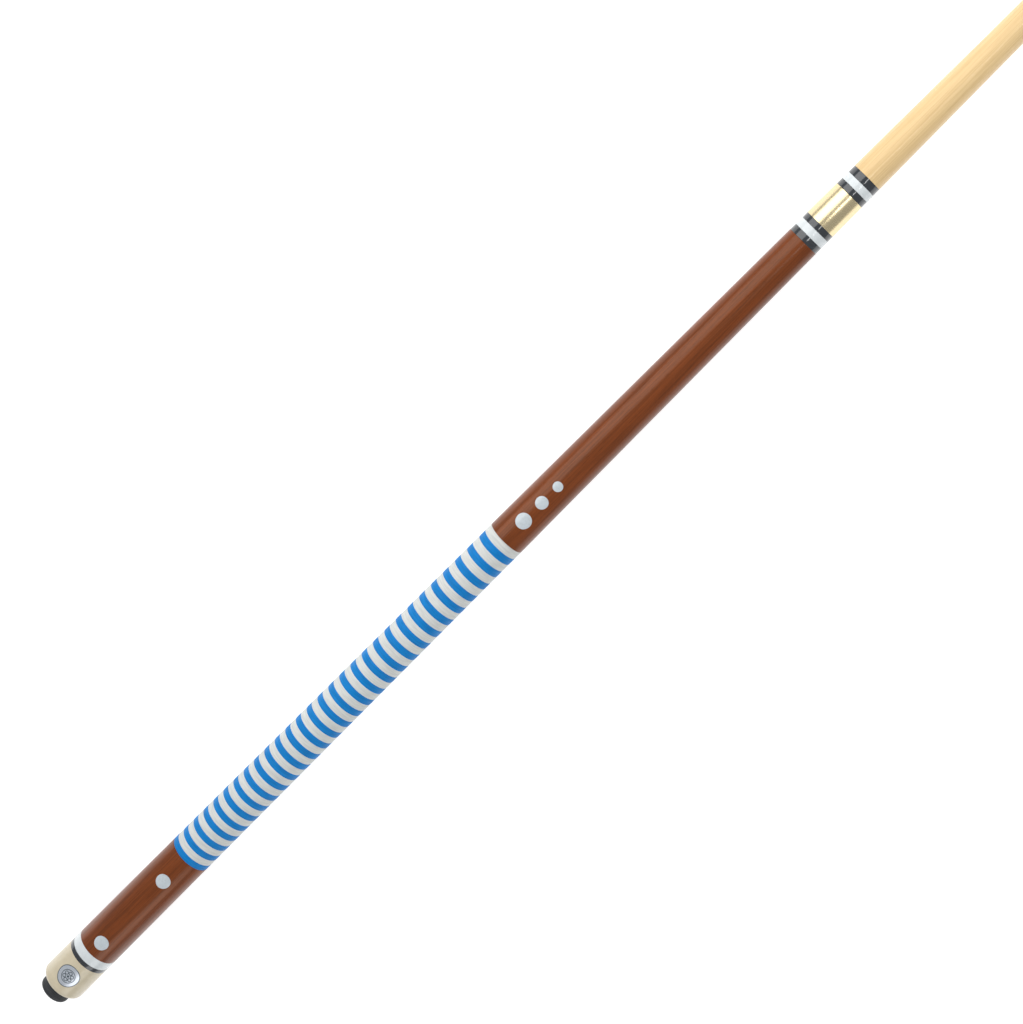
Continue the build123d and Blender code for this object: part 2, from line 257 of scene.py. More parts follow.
def inlay_piece(name, station, angle, inner, outer, proud, depth, steps=48, rings=6):
    """A round or ring-shaped inlay that follows the cue's surface, closed underneath."""
    vertices, rows = [], []

    def on_cue(reach, around, height):
        x = station + reach * math.cos(around)
        base = outer_radius(x)
        a = angle + reach * math.sin(around) / base
        return (x, (base + height) * math.sin(a), (base + height) * math.cos(a))

    turn = [2 * math.pi * i / steps for i in range(steps)]
    bevel = min(proud, INLAY_BEVEL)
    levels = [(inner + (outer - bevel - inner) * i / rings, proud) for i in range(rings + 1)]
    levels += [(outer, proud - bevel), (outer, -depth)]
    levels += [(inner + (outer - inner) * (1 - i / 2), -depth) for i in (1, 2)]
    for reach, height in levels:
        start = len(vertices)
        if reach < ON_AXIS:
            vertices.append(on_cue(0.0, 0.0, height))
            rows.append([start])
        else:
            vertices += [on_cue(reach, a, height) for a in turn]
            rows.append(list(range(start, start + steps)))
    closing = [] if inner < ON_AXIS else [(rows[-1], rows[0])]
    faces = []
    for a, b in list(zip(rows, rows[1:])) + closing:
        for i in range(steps):
            j = (i + 1) % steps
            if len(a) == 1:
                faces.append((a[0], b[i], b[j]))
            elif len(b) == 1:
                faces.append((a[i], b[0], a[j]))
            else:
                faces.append((a[i], b[i], b[j], a[j]))
    return new_piece(name, vertices, faces)


def joined(name, pieces):
    """Several pieces as one."""
    with bpy.context.temp_override(active_object=pieces[0], selected_editable_objects=pieces):
        bpy.ops.object.join()
    pieces[0].name = name
    pieces[0].data.name = name
    return pieces[0]


def fit(piece, body, material, slot, *nodes):
    """Puts a finished piece on its body in place of its CAD nodes."""
    piece.data.materials.clear()
    piece.data.materials.append(material)
    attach(piece, body)
    if nodes:
        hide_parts(*nodes)
    return piece


def body_of_node(node):
    """The body that a CAD node rides on."""
    bodies = frame["record"]["behaviour"]["bodies"]
    return next(body for body, members in bodies.items() if node in members)


def dress(node, material):
    """Gives a CAD node that keeps its own shape a finished material."""
    mesh = frame["nodes"][node].data
    mesh.materials.clear()
    mesh.materials.append(material)


# ---------------------------------------------------------------- shader tools

class Graph:
    """A node tree with short ways to add and link nodes."""

    def __init__(self, tree):
        self.tree = tree

    def add(self, kind, values=None, **settings):
        """A node with its settings, and its inputs set to values or linked to sockets."""
        node = self.tree.nodes.new(kind)
        for name, value in settings.items():
            setattr(node, name, value)
        for name, value in (values or {}).items():
            self.feed(node.inputs[name], value)
        return node

    def feed(self, socket, value):
        """Sets a socket, or links one to it."""
        if isinstance(value, bpy.types.NodeSocket):
            self.tree.links.new(value, socket)
        else:
            socket.default_value = value

    def maths(self, operation, a, b=0.0, c=0.0):
        """One sum on two or three values."""
        node = self.add("ShaderNodeMath", operation=operation)
        for socket, value in zip(node.inputs, (a, b, c)):
            self.feed(socket, value)
        return node.outputs[0]

    def blend(self, factor, a, b, mode="MIX"):
        """One colour laid over another, by way of the Mix node's colour sockets."""
        factor_input, a_input, b_input, colour_output = 0, 6, 7, 2
        node = self.add("ShaderNodeMix", {factor_input: factor, a_input: a, b_input: b},
                        data_type="RGBA", blend_type=mode)
        return node.outputs[colour_output]

    def spread(self, value, low, high, to_low=0.0, to_high=1.0):
        """A value carried from one range to another, and held inside it."""
        node = self.add("ShaderNodeMapRange", {
            "Value": value, "From Min": low, "From Max": high, "To Min": to_low, "To Max": to_high})
        return node.outputs[0]

    def noise(self, vector, scale=1.0, detail=3.0, roughness=0.55):
        """A cloudy value."""
        node = self.add("ShaderNodeTexNoise", {
            "Vector": vector, "Scale": scale, "Detail": detail, "Roughness": roughness})
        return node.outputs["Fac"]

    def stretched(self, vector, along, across):
        """Coordinates scaled by one number along the cue and by another across it."""
        scales = (along, across, across)
        node = self.add("ShaderNodeVectorMath", {0: vector, 1: scales}, operation="MULTIPLY")
        return node.outputs[0]


def new_group(name, inputs, outputs):
    """An empty shader node group: its graph, its inputs and its outputs."""
    tree = bpy.data.node_groups.new(name, "ShaderNodeTree")
    for label, kind, default in inputs:
        socket = tree.interface.new_socket(label, in_out="INPUT", socket_type=kind)
        if default is not None:
            socket.default_value = default
    for label, kind in outputs:
        tree.interface.new_socket(label, in_out="OUTPUT", socket_type=kind)
    graph = Graph(tree)
    return graph, graph.add("NodeGroupInput").outputs, graph.add("NodeGroupOutput").inputs


FLOAT, COLOUR, VECTOR = "NodeSocketFloat", "NodeSocketColor", "NodeSocketVector"


def wood_figure():
    """Long grain with broad streaks, fine lines and open pores, running along the cue."""
    graph, given, out = new_group("Wood Figure", [
        ("Vector", VECTOR, None),
        ("Light", COLOUR, (0.8, 0.6, 0.3, 1)),
        ("Dark", COLOUR, (0.4, 0.2, 0.1, 1)),
        ("Streaks", FLOAT, 0.5),
        ("Lines", FLOAT, 0.4),
        ("Pores", FLOAT, 0.3),
    ], [("Color", COLOUR), ("Height", FLOAT)])
    place = given["Vector"]
    streak = graph.noise(graph.stretched(place, along=9, across=260), detail=4.0)
    line = graph.noise(graph.stretched(place, along=22, across=1500), detail=3.0)
    pore = graph.noise(graph.stretched(place, along=160, across=3600), detail=1.0)
    streak = graph.maths("MULTIPLY", graph.spread(streak, low=0.34, high=0.66), given["Streaks"])
    line = graph.maths("MULTIPLY", graph.spread(line, low=0.42, high=0.64), given["Lines"])
    pore_mask = graph.maths("MULTIPLY", graph.spread(pore, low=0.62, high=0.72), given["Pores"])
    figure = graph.maths("ADD", streak, line)
    figure = graph.maths("ADD", figure, pore_mask)
    figure = graph.spread(figure, low=0.0, high=1.0)
    graph.feed(out["Color"], graph.blend(figure, given["Light"], given["Dark"]))
    graph.feed(out["Height"], graph.maths("MULTIPLY", pore_mask, -1.0))
    return graph.tree


def handled_surface():
    """Roughness of a surface that hands have rubbed: faint smears and hairline scratches."""
    graph, given, out = new_group("Handled Surface", [
        ("Vector", VECTOR, None),
        ("Roughness", FLOAT, 0.2),
        ("Smears", FLOAT, 0.1),
        ("Scratches", FLOAT, 0.1),
    ], [("Roughness", FLOAT), ("Height", FLOAT)])
    place = given["Vector"]
    smear = graph.noise(place, scale=45.0, detail=4.0)
    scratch = graph.noise(graph.stretched(place, along=3500, across=500), detail=2.0)
    scratch = graph.spread(scratch, low=0.60, high=0.70)
    smear = graph.maths("SUBTRACT", smear, 0.5)
    rough = graph.maths("MULTIPLY_ADD", smear, given["Smears"], given["Roughness"])
    rough = graph.maths("MULTIPLY_ADD", scratch, given["Scratches"], rough)
    graph.feed(out["Roughness"], rough)
    graph.feed(out["Height"], graph.maths("MULTIPLY", scratch, -1.0))
    return graph.tree


def lathe_marks():
    """The fine rings that a lathe tool leaves, as a height."""
    graph, given, out = new_group("Lathe Marks", [
        ("Vector", VECTOR, None),
        ("Lines per Millimetre", FLOAT, 8.0),
    ], [("Height", FLOAT)])
    lines = graph.maths("MULTIPLY", given["Lines per Millimetre"], 1 / MM)
    station = graph.add("ShaderNodeSeparateXYZ", {0: given["Vector"]}).outputs[0]
    along = graph.add("ShaderNodeCombineXYZ", {0: graph.maths("MULTIPLY", station, lines)}).outputs[0]
    graph.feed(out["Height"], graph.noise(along, detail=2.0, roughness=0.7))
    return graph.tree


def linen_fibre():
    """Fibres and slubs of linen thread wound round the cue, under a thin seal."""
    graph, given, out = new_group("Linen Fibre", [
        ("Vector", VECTOR, None),
        ("Color", COLOUR, (0.5, 0.5, 0.5, 1)),
        ("Slubs", FLOAT, 0.3),
        ("Fuzz", FLOAT, 0.3),
    ], [("Color", COLOUR), ("Height", FLOAT)])
    place = given["Vector"]
    slub = graph.noise(graph.stretched(place, along=1400, across=120), detail=3.0)
    slub = graph.spread(slub, low=0.35, high=0.7)
    fibre = graph.noise(graph.stretched(place, along=9000, across=1600), detail=2.0)
    dark = graph.blend(1.0, given["Color"], (0.62, 0.64, 0.66, 1), "MULTIPLY")
    shade = graph.maths("MULTIPLY", slub, given["Slubs"])
    colour = graph.blend(shade, given["Color"], dark)
    pale = graph.maths("MULTIPLY", graph.spread(fibre, low=0.58, high=0.75), given["Fuzz"])
    lifted = graph.blend(0.12, given["Color"], (0.8, 0.85, 0.9, 1))
    graph.feed(out["Color"], graph.blend(pale, colour, lifted))
    graph.feed(out["Height"], fibre)
    return graph.tree


def cloudy_tint():
    """Soft clouds of a second colour, as in cast resin or pearl."""
    graph, given, out = new_group("Cloudy Tint", [
        ("Vector", VECTOR, None),
        ("Color", COLOUR, (0.5, 0.5, 0.5, 1)),
        ("Cloud", COLOUR, (0.4, 0.4, 0.4, 1)),
        ("Scale", FLOAT, 200.0),
        ("Amount", FLOAT, 0.3),
    ], [("Color", COLOUR), ("Height", FLOAT)])
    cloud = graph.noise(given["Vector"], given["Scale"], detail=4.0)
    amount = graph.maths("MULTIPLY", graph.spread(cloud, low=0.35, high=0.7), given["Amount"])
    graph.feed(out["Color"], graph.blend(amount, given["Color"], given["Cloud"]))
    graph.feed(out["Height"], cloud)
    return graph.tree


GROUP_MAKERS = {
    "Wood Figure": wood_figure,
    "Handled Surface": handled_surface,
    "Lathe Marks": lathe_marks,
    "Linen Fibre": linen_fibre,
    "Cloudy Tint": cloudy_tint,
}


def place_group(graph, name, values):
    """One of the shared effects, made the first time that it is needed."""
    tree = bpy.data.node_groups.get(name) or GROUP_MAKERS[name]()
    return graph.add("ShaderNodeGroup", values, node_tree=tree).outputs


def new_material(name, shader_values):
    """Makes a material, and gives its graph, its shader's inputs and the object's coordinates."""
    material = bpy.data.materials.new(name + FINISH_SUFFIX)
    material.use_nodes = True
    material.node_tree.nodes.clear()
    graph = Graph(material.node_tree)
    shader = graph.add("ShaderNodeBsdfPrincipled", shader_values)
    graph.add("ShaderNodeOutputMaterial", {"Surface": shader.outputs[0]})
    place = graph.add("ShaderNodeTexCoord").outputs["Object"]
    return graph, shader.inputs, place


def bump(graph, height, distance, strength):
    """A normal that follows a height."""
    return graph.add("ShaderNodeBump", {
        "Height": height, "Distance": distance, "Strength": strength}).outputs[0]


def solid(colour, amount=1.0):
    """A colour with its alpha, made lighter or darker by amount."""
    return (*[c * amount for c in colour], 1.0)


# ---------------------------------------------------------------- finishes

def wood_material(name, light, dark, streaks, lines, pores, coat, coat_roughness):
    """Lacquered wood with grain along the cue."""
    graph, surface, place = new_material(name, {
        "IOR": 1.5, "Specular IOR Level": 0.4, "Specular Tint": (1.0, 0.62, 0.40, 1),
        "Coat Weight": coat, "Coat Roughness": coat_roughness})
    figure = place_group(graph, "Wood Figure", {
        "Vector": place, "Light": light, "Dark": dark,
        "Streaks": streaks, "Lines": lines, "Pores": pores})
    touch = place_group(graph, "Handled Surface", {
        "Vector": place, "Roughness": 0.34, "Smears": 0.16, "Scratches": 0.10})
    graph.feed(surface["Base Color"], figure["Color"])
    graph.feed(surface["Roughness"], touch["Roughness"])
    graph.feed(surface["Normal"], bump(graph, figure["Height"], distance=0.00004, strength=0.35))


def resin_material(name, colour, cloud, amount, roughness, coat):
    """Cast resin, turned and polished."""
    graph, surface, place = new_material(name, {
        "IOR": 1.5, "Coat Weight": coat, "Coat Roughness": 0.06})
    tint = place_group(graph, "Cloudy Tint", {
        "Vector": place, "Color": colour, "Cloud": cloud, "Scale": 260.0, "Amount": amount})
    touch = place_group(graph, "Handled Surface", {
        "Vector": place, "Roughness": roughness, "Smears": 0.10, "Scratches": 0.12})
    marks = place_group(graph, "Lathe Marks", {"Vector": place, "Lines per Millimetre": 9.0})
    graph.feed(surface["Base Color"], tint["Color"])
    graph.feed(surface["Roughness"], touch["Roughness"])
    graph.feed(surface["Normal"], bump(graph, marks["Height"], distance=0.000004, strength=0.3))


def metal_material(name, colour, shade, roughness, lines):
    """Turned metal."""
    graph, surface, place = new_material(name, {"IOR": 1.5})
    marks = place_group(graph, "Lathe Marks", {"Vector": place, "Lines per Millimetre": lines})
    touch = place_group(graph, "Handled Surface", {
        "Vector": place, "Roughness": roughness, "Smears": 0.10, "Scratches": 0.10})
    tint = place_group(graph, "Cloudy Tint", {
        "Vector": place, "Color": colour, "Cloud": shade, "Scale": 420.0, "Amount": 0.35})
    graph.feed(surface["Base Color"], tint["Color"])
    surface["Metallic"].default_value = 1.0
    graph.feed(surface["Roughness"], touch["Roughness"])
    graph.feed(surface["Normal"], bump(graph, marks["Height"], distance=0.000006, strength=0.5))


def linen_material(name, colour, slubs, fuzz):
    """Pressed and sealed linen thread."""
    graph, surface, place = new_material(name, {
        "IOR": 1.45, "Specular IOR Level": 0.2,
        "Sheen Weight": 0.03, "Sheen Roughness": 0.4, "Coat Weight": 0.08, "Coat Roughness": 0.35})
    fibre = place_group(graph, "Linen Fibre", {
        "Vector": place, "Color": colour, "Slubs": slubs, "Fuzz": fuzz})
    touch = place_group(graph, "Handled Surface", {
        "Vector": place, "Roughness": 0.55, "Smears": 0.15, "Scratches": 0.0})
    graph.feed(surface["Base Color"], fibre["Color"])
    graph.feed(surface["Roughness"], touch["Roughness"])
    graph.feed(surface["Normal"], bump(graph, fibre["Height"], distance=0.00003, strength=0.4))


def soft_material(name, colour, cloud, scale, roughness, relief):
    """Rubber, leather or fibre: matt, with a fine grain."""
    graph, surface, place = new_material(name, {"IOR": 1.48})
    tint = place_group(graph, "Cloudy Tint", {
        "Vector": place, "Color": colour, "Cloud": cloud, "Scale": scale, "Amount": 0.6})
    touch = place_group(graph, "Handled Surface", {
        "Vector": place, "Roughness": roughness, "Smears": 0.2, "Scratches": 0.05})
    graph.feed(surface["Base Color"], tint["Color"])
    graph.feed(surface["Roughness"], touch["Roughness"])
    graph.feed(surface["Normal"], bump(graph, tint["Height"], relief, strength=0.5))


def pearl_material(name, colour):
    """Pearl inlay: pale, with small flakes that lean to and fro under the lacquer."""
    graph, surface, place = new_material(name, {
        "IOR": 1.5, "Coat Weight": 0.5, "Coat Roughness": 0.08})
    flakes = graph.add("ShaderNodeTexVoronoi", {"Vector": place, "Scale": 900.0}).outputs["Color"]
    flake = graph.add("ShaderNodeSeparateColor", {0: flakes}).outputs[0]
    tint = place_group(graph, "Cloudy Tint", {
        "Vector": place, "Color": solid(colour), "Cloud": solid(colour, 0.86),
        "Scale": 500.0, "Amount": 0.6})
    shade = graph.spread(flake, 0.0, 1.0, to_low=0.0, to_high=0.16)
    graph.feed(surface["Base Color"], graph.blend(shade, tint["Color"], (0.50, 0.56, 0.66, 1)))
    graph.feed(surface["Roughness"], graph.spread(flake, 0.0, 1.0, to_low=0.22, to_high=0.40))


def make_finishes(colours):
    """Makes every finish of the cue."""
    soft_material(
        "bumper_rubber", (0.022, 0.024, 0.028, 1), (0.040, 0.042, 0.046, 1),
        scale=1500, roughness=0.55, relief=0.00003)
    soft_material(
        "red_fibre", (0.13, 0.010, 0.022, 1), (0.22, 0.02, 0.03, 1),
        scale=1200, roughness=0.5, relief=0.00001)
    resin_material(
        "cream_resin", solid(colours.cream), solid(colours.cream, 0.90),
        amount=0.7, roughness=0.30, coat=0.35)
    resin_material(
        "black_resin", (0.020, 0.024, 0.030, 1), (0.034, 0.040, 0.046, 1),
        amount=0.5, roughness=0.16, coat=0.8)
    resin_material(
        "white_resin", (0.74, 0.78, 0.79, 1), (0.66, 0.70, 0.71, 1),
        amount=0.4, roughness=0.24, coat=0.4)
    metal_material(
        "silver_inlay", (0.80, 0.84, 0.90, 1), (0.66, 0.70, 0.78, 1), roughness=0.42, lines=3.0)
    resin_material(
        "dark_enamel", (0.060, 0.085, 0.105, 1), (0.10, 0.13, 0.15, 1),
        amount=0.4, roughness=0.3, coat=0.3)
    pearl_material("pearl_inlay", colours.pearl)
    wood_material(
        "stained_wood", solid(colours.stain, 1.35), solid(colours.stain, 0.55),
        streaks=0.45, lines=0.42, pores=0.4, coat=0.26, coat_roughness=0.14)
    wood_material(
        "maple", solid(colours.maple, 0.9), solid(colours.maple, 0.6),
        streaks=0.4, lines=0.3, pores=0.2, coat=0.0, coat_roughness=0.3)
    wood_material(
        "shaft_maple", solid(colours.maple), (0.66, 0.43, 0.19, 1),
        streaks=0.30, lines=0.34, pores=0.16, coat=0.35, coat_roughness=0.14)
    metal_material(
        "polished_brass", solid(colours.brass), (0.78, 0.62, 0.38, 1), roughness=0.26, lines=12.0)
    metal_material(
        "plain_brass", (0.72, 0.53, 0.24, 1), (0.55, 0.38, 0.16, 1), roughness=0.35, lines=6.0)
    metal_material(
        "screw_steel", (0.56, 0.57, 0.59, 1), (0.40, 0.41, 0.43, 1), roughness=0.30, lines=6.0)
    linen_material("blue_linen", solid(colours.blue), slubs=0.8, fuzz=0.35)
    linen_material("white_linen", solid(colours.white), slubs=0.45, fuzz=0.3)
    resin_material(
        "ferrule_resin", (0.82, 0.81, 0.74, 1), (0.74, 0.72, 0.64, 1),
        amount=0.5, roughness=0.25, coat=0.3)
    soft_material(
        "tip_leather", (0.030, 0.075, 0.17, 1), (0.10, 0.17, 0.28, 1),
        scale=2200, roughness=0.8, relief=0.00006)


def finish_of(name):
    """A finish that the materials operator has made."""
    material = bpy.data.materials.get(name + FINISH_SUFFIX)
    if material is None:
        raise RuntimeError(f"finish {name} isn't made yet: run the materials operator first")
    return material


def sizes():
    """The scene's size settings."""
    return bpy.context.scene.cue_sizes


# ---------------------------------------------------------------- operators

class CUE_OT_materials(bpy.types.Operator):
    """Make every finish, and give each CAD node its own"""

    bl_idname = "cue.materials"
    bl_label = "Finishes"

    def execute(self, context):
        make_finishes(context.scene.cue_colours)
        for node, slot in SLOTS.items():
            dress(node, finish_of(slot))
        return {"FINISHED"}


class CUE_OT_bumper(bpy.types.Operator):
    """Mould the grooved rubber bumper, and turn the fibre washer in front of it"""

    bl_idname = "cue.bumper"
    bl_label = "Bumper"

    def execute(self, context):
        start, end = span("bumper")
        radius = node_radius("bumper")
        corner = 0.0024
        rim_edge = 0.0003
        foot = radius - corner
        outline = [(end, 0.0), (end, radius - rim_edge), (end - rim_edge, radius)]
        outline += self.side_grooves(end, radius)
        arc_steps = 8
        for i in range(arc_steps + 1):
            a = math.pi / 2 * i / arc_steps
            outline.append((start + corner - corner * math.sin(a), foot + corner * math.cos(a)))
        outline += self.foot_grooves(start, foot)
        outline.append((start, 0.0))
        bumper = turn_piece("bumper_moulding", outline, sizes().segments, smooth_angle=50)
        fit(bumper, "bumper", finish_of("bumper_rubber"), "bumper_rubber", "bumper")
        start, end = span("bumper_washer")
        rim = node_radius("bumper_washer")
        section = [(start, STUD_BORE), (end, STUD_BORE), (end, rim), (start, rim)]
        washer = turn_piece("washer_disc", rounded(section, sizes().edge_round), sizes().segments)
        fit(washer, "bumper_washer", finish_of("red_fibre"), "red_fibre", "bumper_washer")
        return {"FINISHED"}

    def side_grooves(self, end, radius):
        """Corners of the grooves round the bumper's side, from its front edge backwards."""
        grooves = 3
        first = 0.0014
        spacing = 0.0011
        half_width = 0.0002
        depth = 0.00018
        corners = []
        for i in range(grooves):
            x = end - first - spacing * i
            corners += [(x + half_width, radius), (x, radius - depth), (x - half_width, radius)]
        return corners

    def foot_grooves(self, start, foot):
        """Corners of the ring grooves in the bumper's foot, from its edge inwards."""
        grooves = 3
        first_share = 0.80
        share_step = 0.22
        half_mouth = 0.00035
        half_bed = 0.0001
        depth = 0.00025
        corners = []
        for i in range(grooves):
            r = foot * (first_share - share_step * i)
            corners += [(start, r + half_mouth), (start + depth, r + half_bed)]
            corners += [(start + depth, r - half_bed), (start, r - half_mouth)]
        return corners


class CUE_OT_cap(bpy.types.Operator):
    """Turn the butt cap with its rounded rear corner"""

    bl_idname = "cue.cap"
    bl_label = "Butt Cap"

    def execute(self, context):
        edge = sizes().edge_round
        rim = outer_radius(CAP_START)
        outline = [
            (CAP_START, REAR_BORE), (CAP_END - edge, REAR_BORE), (CAP_END, REAR_BORE + edge),
            (CAP_END, outer_radius(CAP_END) - edge), (CAP_END - edge, outer_radius(CAP_END - edge)),
        ]
        arc_steps = 10
        for i in range(arc_steps + 1):
            a = math.pi / 2 * i / arc_steps
            x = CAP_START + CAP_CORNER - CAP_CORNER * math.sin(a)
            taper = outer_radius(x) - rim
            outline.append((x, rim - CAP_CORNER + CAP_CORNER * math.cos(a) + taper * math.cos(a)))
        cap = turn_piece("cap_turning", outline, sizes().segments)
        fit(cap, "butt", finish_of("cream_resin"), "cream_resin", "butt_cap")
        return {"FINISHED"}


class CUE_OT_medallion(bpy.types.Operator):
    """Set the medallion in the cap: a silver disc, a dark rim and a plain rosette"""

    bl_idname = "cue.medallion"
    bl_label = "Medallion"

    def execute(self, context):
        low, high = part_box("cap_medallion")
        station = (low.x + high.x) / 2
        radius = (high.x - low.x) / 2
        proud = sizes().inlay_proud
        depth = 0.0008
        disc_share = 0.93
        silver = finish_of("silver_inlay")
        dark = finish_of("dark_enamel")
        disc = inlay_piece(
            "medallion_disc", station, angle=0.0, inner=0.0, outer=radius * disc_share,
            proud=proud, depth=depth, steps=96, rings=12)
        fit(disc, "butt", silver, "silver_inlay", "cap_medallion")
        rim = inlay_piece(
            "medallion_rim", station, angle=0.0, inner=radius * disc_share, outer=radius,
            proud=proud, depth=depth, steps=96, rings=2)
        fit(rim, "butt", dark, "black_resin")
        ring_inner, ring_outer = radius * 0.56, radius * 0.62
        petal_inner, petal_outer = radius * 0.11, radius * 0.17
        eye_radius = radius * 0.10
        reach = radius * 0.34
        raised = proud * 2
        rosette = [inlay_piece(
            "rosette_ring", station, angle=0.0, inner=ring_inner, outer=ring_outer,
            proud=raised, depth=depth, steps=72, rings=2)]
        petals = 6
        for i in range(petals):
            around = 2 * math.pi * i / petals
            rosette.append(inlay_piece(
                "rosette_petal", station + reach * math.cos(around),
                angle=reach * math.sin(around) / CAP_RADIUS, inner=petal_inner, outer=petal_outer,
                proud=raised, depth=depth, steps=36, rings=2))
        rosette.append(inlay_piece(
            "rosette_eye", station, angle=0.0, inner=0.0, outer=eye_radius,
            proud=raised, depth=depth, steps=36, rings=2))
        fit(joined("medallion_rosette", rosette), "butt", dark, "black_resin")
        return {"FINISHED"}


class CUE_OT_rings(bpy.types.Operator):
    """Turn the trim rings and the brass collar, each with a rounded edge"""

    bl_idname = "cue.rings"
    bl_label = "Rings and Collar"

    def execute(self, context):
        rings = {
            "cap_ring_black": REAR_BORE, "cap_ring_white": REAR_BORE,
            "collar_ring_black_rear": FRONT_BORE, "collar_ring_white": FRONT_BORE,
            "collar_ring_black_front": FRONT_BORE, "joint_collar": FRONT_BORE,
            "shaft_ring_joint": FRONT_BORE, "shaft_ring_white": FRONT_BORE,
            "shaft_ring_black": FRONT_BORE,
        }
        for node, bore in rings.items():
            start, end = span(node)
            outline = ring_outline(start, end, bore, sizes().edge_round)
            ring = turn_piece(node + "_turning", outline, sizes().segments)
            fit(ring, body_of_node(node), finish_of(SLOTS[node]), SLOTS[node], node)
        return {"FINISHED"}


class CUE_OT_woods(bpy.types.Operator):
    """Turn the butt sleeve, the forearm and the shaft in fine steps"""

    bl_idname = "cue.woods"
    bl_label = "Turned Woods"

    def execute(self, context):
        edge = sizes().edge_round
        segments = sizes().segments
        outline = ring_outline(SLEEVE_START, SLEEVE_END, REAR_BORE, edge)
        sleeve = turn_piece("sleeve_turning", outline, segments)
        fit(sleeve, "butt", finish_of("stained_wood"), "stained_wood", "butt_sleeve")
        back = WRAP_END
        stud_end = back + 0.034
        pin_start = JOINT_FACE - 0.04
        outline = [
            (back, PIN_BORE), (stud_end, PIN_BORE), (stud_end, 0.0),
            (pin_start, 0.0), (pin_start, PIN_BORE), (JOINT_FACE, PIN_BORE),
            (JOINT_FACE, FRONT_TENON), (FOREARM_FRONT, FRONT_TENON),
            (FOREARM_FRONT, outer_radius(FOREARM_FRONT) - edge),
            (FOREARM_FRONT - edge, outer_radius(FOREARM_FRONT - edge)),
            (back + edge, outer_radius(back + edge)), (back, outer_radius(back) - edge),
        ]
        forearm = turn_piece("forearm_turning", outline, segments)
        fit(forearm, "butt", finish_of("stained_wood"), "stained_wood", "forearm")
        shaft_face, front = span("shaft")
        insert_end = shaft_face + 0.036
        outline = [
            (shaft_face, INSERT_BORE), (insert_end, INSERT_BORE), (insert_end, 0.0),
            (front, 0.0), (front, FERRULE_TENON), (FERRULE_START, FERRULE_TENON),
            (FERRULE_START, STRAIGHT_RADIUS - edge), (FERRULE_START - edge, STRAIGHT_RADIUS),
            (STRAIGHT_START, STRAIGHT_RADIUS),
            (SHAFT_BACK + edge, outer_radius(SHAFT_BACK + edge)),
            (SHAFT_BACK, outer_radius(SHAFT_BACK) - edge),
            (SHAFT_BACK, FRONT_TENON), (shaft_face, FRONT_TENON),
        ]
        shaft = turn_piece("shaft_turning", outline, segments)
        fit(shaft, "shaft", finish_of("shaft_maple"), "shaft_maple", "shaft")
        return {"FINISHED"}


class CUE_OT_dots(bpy.types.Operator):
    """Inlay the pearl dots in the sleeve and the forearm"""

    bl_idname = "cue.dots"
    bl_label = "Pearl Dots"

    def execute(self, context):
        rows = 3
        proud = sizes().inlay_proud
        depth = 0.0006
        low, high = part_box("sleeve_dots")
        sleeve_dot = 0.0051
        stations = {"sleeve_dots": [
            (low.x + sleeve_dot, sleeve_dot), (high.x - sleeve_dot, sleeve_dot)]}
        for size in ("large", "medium", "small"):
            node = "forearm_dots_" + size
            low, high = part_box(node)
            stations[node] = [((low.x + high.x) / 2, (high.x - low.x) / 2)]
        for node, dots in stations.items():
            pieces = []
            for station, radius in dots:
                for row in range(rows):
                    angle = 2 * math.pi * row / rows
                    pieces.append(inlay_piece(
                        "pearl_dot", station, angle, inner=0.0, outer=radius,
                        proud=proud, depth=depth, steps=64, rings=8))
            dots_piece = joined(node + "_pearl", pieces)
            fit(dots_piece, "butt", finish_of("pearl_inlay"), "pearl_inlay", node)
        return {"FINISHED"}


